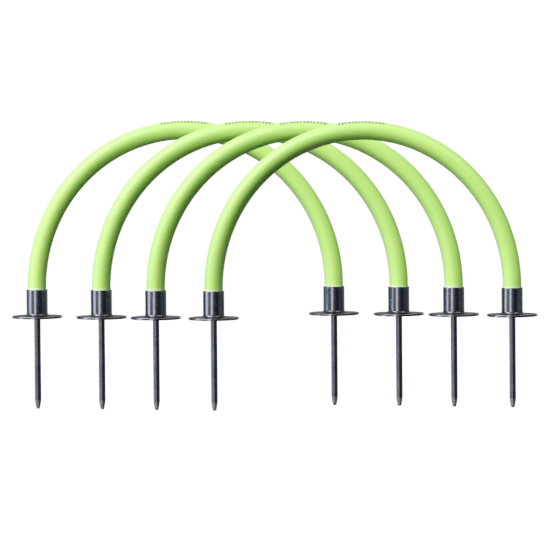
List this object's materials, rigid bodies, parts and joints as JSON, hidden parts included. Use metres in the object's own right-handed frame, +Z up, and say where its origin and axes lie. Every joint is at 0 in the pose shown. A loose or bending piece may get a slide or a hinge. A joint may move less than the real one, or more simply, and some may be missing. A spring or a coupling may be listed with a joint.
{
  "type": "training hoop set",
  "caption": "Set of low curved hoops for animal agility training, each a bent plastic tube pushed into steel feet with ground spikes.",
  "frame": {"origin": "middle of the set on the turf: z = 0 is the underside of the foot plates, and the spikes are below it", "axes": "+X to the right across the hoops' openings, +Y along the course from the front hoop to the back hoop, +Z up"},
  "size_m": [0.826, 0.173, 0.4534],
  "materials": {
    "hoop_plastic": "satin, light lime green, with a faint moulded grain",
    "plated_steel": "dark polished plating with drawn streaks",
    "spike_steel": "dark drawn bar with a bare ground point"
  },
  "bodies": {
    "hoop_1": {"hoop_1_tube": "hoop_plastic"},
    "hoop_1_left_foot": {"hoop_1_left_sleeve": "plated_steel", "hoop_1_left_foot_plate": "plated_steel", "hoop_1_left_spike": "spike_steel"},
    "hoop_1_right_foot": {"hoop_1_right_sleeve": "plated_steel", "hoop_1_right_foot_plate": "plated_steel", "hoop_1_right_spike": "spike_steel"},
    "hoop_2": {"hoop_2_tube": "hoop_plastic"},
    "hoop_2_left_foot": {"hoop_2_left_sleeve": "plated_steel", "hoop_2_left_foot_plate": "plated_steel", "hoop_2_left_spike": "spike_steel"},
    "hoop_2_right_foot": {"hoop_2_right_sleeve": "plated_steel", "hoop_2_right_foot_plate": "plated_steel", "hoop_2_right_spike": "spike_steel"},
    "hoop_3": {"hoop_3_tube": "hoop_plastic"},
    "hoop_3_left_foot": {"hoop_3_left_sleeve": "plated_steel", "hoop_3_left_foot_plate": "plated_steel", "hoop_3_left_spike": "spike_steel"},
    "hoop_3_right_foot": {"hoop_3_right_sleeve": "plated_steel", "hoop_3_right_foot_plate": "plated_steel", "hoop_3_right_spike": "spike_steel"},
    "hoop_4": {"hoop_4_tube": "hoop_plastic"},
    "hoop_4_left_foot": {"hoop_4_left_sleeve": "plated_steel", "hoop_4_left_foot_plate": "plated_steel", "hoop_4_left_spike": "spike_steel"},
    "hoop_4_right_foot": {"hoop_4_right_sleeve": "plated_steel", "hoop_4_right_foot_plate": "plated_steel", "hoop_4_right_spike": "spike_steel"}
  },
  "joints": [
    {"name": "hoop_1_left_foot_pull", "type": "slide", "parent": "hoop_1", "child": "hoop_1_left_foot", "axis": [0, 0, -1], "range_m": [0, 0.042]},
    {"name": "hoop_1_right_foot_pull", "type": "slide", "parent": "hoop_1", "child": "hoop_1_right_foot", "axis": [0, 0, -1], "range_m": [0, 0.042]},
    {"name": "hoop_2_lift", "type": "slide", "parent": "hoop_1", "child": "hoop_2", "axis": [0, 0, 1], "range_m": [0, 0.16]},
    {"name": "hoop_2_left_foot_pull", "type": "slide", "parent": "hoop_2", "child": "hoop_2_left_foot", "axis": [0, 0, -1], "range_m": [0, 0.042]},
    {"name": "hoop_2_right_foot_pull", "type": "slide", "parent": "hoop_2", "child": "hoop_2_right_foot", "axis": [0, 0, -1], "range_m": [0, 0.042]},
    {"name": "hoop_3_lift", "type": "slide", "parent": "hoop_1", "child": "hoop_3", "axis": [0, 0, 1], "range_m": [0, 0.16]},
    {"name": "hoop_3_left_foot_pull", "type": "slide", "parent": "hoop_3", "child": "hoop_3_left_foot", "axis": [0, 0, -1], "range_m": [0, 0.042]},
    {"name": "hoop_3_right_foot_pull", "type": "slide", "parent": "hoop_3", "child": "hoop_3_right_foot", "axis": [0, 0, -1], "range_m": [0, 0.042]},
    {"name": "hoop_4_lift", "type": "slide", "parent": "hoop_1", "child": "hoop_4", "axis": [0, 0, 1], "range_m": [0, 0.16]},
    {"name": "hoop_4_left_foot_pull", "type": "slide", "parent": "hoop_4", "child": "hoop_4_left_foot", "axis": [0, 0, -1], "range_m": [0, 0.042]},
    {"name": "hoop_4_right_foot_pull", "type": "slide", "parent": "hoop_4", "child": "hoop_4_right_foot", "axis": [0, 0, -1], "range_m": [0, 0.042]}
  ]
}
